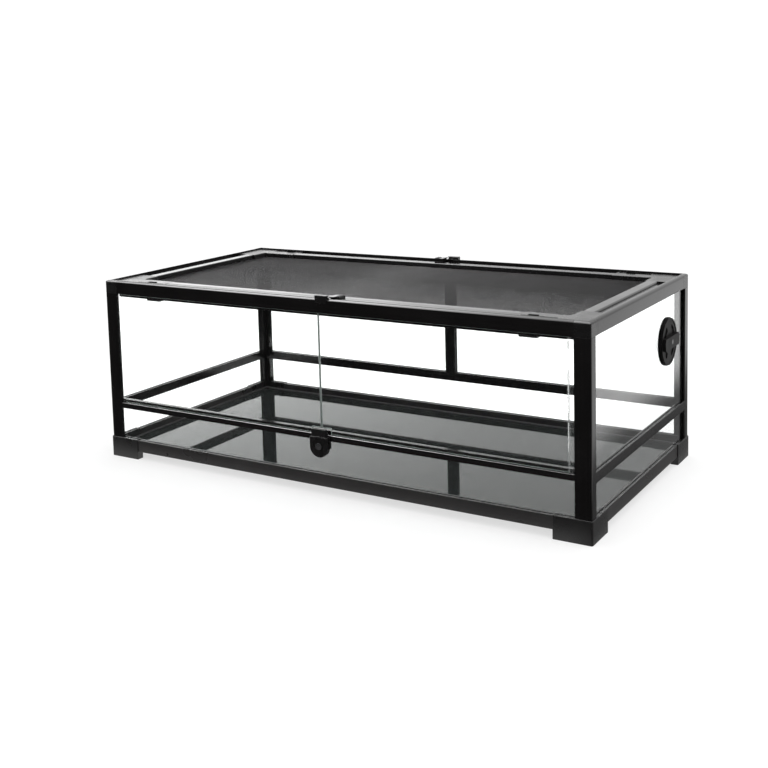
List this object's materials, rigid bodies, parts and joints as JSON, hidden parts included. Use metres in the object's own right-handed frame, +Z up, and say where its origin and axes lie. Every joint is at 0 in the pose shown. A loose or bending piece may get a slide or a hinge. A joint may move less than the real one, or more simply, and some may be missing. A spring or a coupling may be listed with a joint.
{
  "type": "reptile terrarium",
  "caption": "Low front-opening glass reptile terrarium: black frame on corner feet, twin swing doors with a slide lock, lift-off screen lid with cable inlets, twist vent in one end pane.",
  "frame": {"origin": "on the ground under the middle of the frame, at bottom centre", "axes": "+X towards the end with the vent, +Y towards the back, +Z up; the doors face -Y"},
  "size_m": [0.9182, 0.4653, 0.325],
  "materials": {
    "black_profile": "satin black extrusion",
    "black_moulding": "fine-textured black moulding",
    "clear_pane": "clear float glass with green edges",
    "clear_strip": "clear extruded plastic",
    "floor_pane": "black glass floor",
    "black_silicone": "soft black silicone",
    "black_screen": "fine black wire screen",
    "black_screw": "blackened steel"
  },
  "bodies": {
    "frame": {"foot_front_left": "black_moulding", "foot_front_right": "black_moulding", "foot_back_left": "black_moulding", "foot_back_right": "black_moulding", "bottom_rail_front": "black_profile", "bottom_rail_back": "black_profile", "bottom_rail_left": "black_profile", "bottom_rail_right": "black_profile", "floor_glass": "floor_pane", "floor_seal": "black_silicone", "post_front_left": "black_profile", "post_front_right": "black_profile", "post_back_left": "black_profile", "post_back_right": "black_profile", "post_back_centre": "black_profile", "mid_rail_front": "black_profile", "mid_rail_back": "black_profile", "mid_rail_left": "black_profile", "mid_rail_right": "black_profile", "lower_glass_front": "clear_pane", "lower_glass_back": "clear_pane", "lower_glass_left": "clear_pane", "lower_glass_right": "clear_pane", "upper_glass_left": "clear_pane", "upper_glass_right": "clear_pane", "upper_glass_back_left": "clear_pane", "upper_glass_back_right": "clear_pane", "top_rail_front": "black_profile", "top_rail_back": "black_profile", "top_rail_left": "black_profile", "top_rail_right": "black_profile", "top_corner_joiners": "black_moulding", "keeper_front": "black_moulding", "keeper_back": "black_moulding", "lock_base": "black_moulding", "lock_cover": "black_moulding", "lock_screw": "black_screw", "vent_outer_flange": "black_moulding", "vent_inner_flange": "black_moulding", "vent_pivot": "black_screw"},
    "left_door": {"left_door_glass": "clear_pane", "left_door_hinge_strip": "clear_strip"},
    "right_door": {"right_door_glass": "clear_pane", "right_door_hinge_strip": "clear_strip"},
    "lock_bolt": {"lock_bolt": "black_moulding"},
    "lid": {"lid_rail_front": "black_profile", "lid_rail_back": "black_profile", "lid_rail_left": "black_profile", "lid_rail_right": "black_profile", "lid_corners_front": "black_moulding", "lid_corners_back": "black_moulding", "lid_mesh": "black_screen", "lid_spline": "black_silicone"},
    "lid_slider_front": {"lid_slider_front": "black_moulding"},
    "lid_slider_back": {"lid_slider_back": "black_moulding"},
    "inlet_gate_front_left": {"inlet_gate_front_left": "black_moulding"},
    "inlet_gate_front_right": {"inlet_gate_front_right": "black_moulding"},
    "inlet_gate_back_left": {"inlet_gate_back_left": "black_moulding"},
    "inlet_gate_back_right": {"inlet_gate_back_right": "black_moulding"},
    "vent_shutter": {"vent_shutter": "black_moulding"}
  },
  "joints": [
    {"name": "left_door_hinge", "type": "hinge", "parent": "frame", "child": "left_door", "pos_m": [-0.4252, -0.2236, 0.2], "axis": [0, 0, -1], "range_deg": [0, 100]},
    {"name": "right_door_hinge", "type": "hinge", "parent": "frame", "child": "right_door", "pos_m": [0.4252, -0.2236, 0.2], "axis": [0, 0, 1], "range_deg": [0, 100]},
    {"name": "lock_bolt_slide", "type": "slide", "parent": "frame", "child": "lock_bolt", "axis": [0, 0, 1], "range_m": [0, 0.009]},
    {"name": "lid_lift", "type": "slide", "parent": "frame", "child": "lid", "axis": [0, 0, 1], "range_m": [0, 0.15]},
    {"name": "lid_slider_front_slide", "type": "slide", "parent": "lid", "child": "lid_slider_front", "axis": [-1, 0, 0], "range_m": [0, 0.009]},
    {"name": "lid_slider_back_slide", "type": "slide", "parent": "lid", "child": "lid_slider_back", "axis": [1, 0, 0], "range_m": [0, 0.009]},
    {"name": "inlet_gate_front_left_slide", "type": "slide", "parent": "lid", "child": "inlet_gate_front_left", "axis": [-1, 0, 0], "range_m": [0, 0.027]},
    {"name": "inlet_gate_front_right_slide", "type": "slide", "parent": "lid", "child": "inlet_gate_front_right", "axis": [1, 0, 0], "range_m": [0, 0.027]},
    {"name": "inlet_gate_back_left_slide", "type": "slide", "parent": "lid", "child": "inlet_gate_back_left", "axis": [-1, 0, 0], "range_m": [0, 0.027]},
    {"name": "inlet_gate_back_right_slide", "type": "slide", "parent": "lid", "child": "inlet_gate_back_right", "axis": [1, 0, 0], "range_m": [0, 0.027]},
    {"name": "vent_turn", "type": "hinge", "parent": "frame", "child": "vent_shutter", "pos_m": [0.4557, 0.124, 0.222], "axis": [1, 0, 0], "range_deg": [0, 45]}
  ]
}
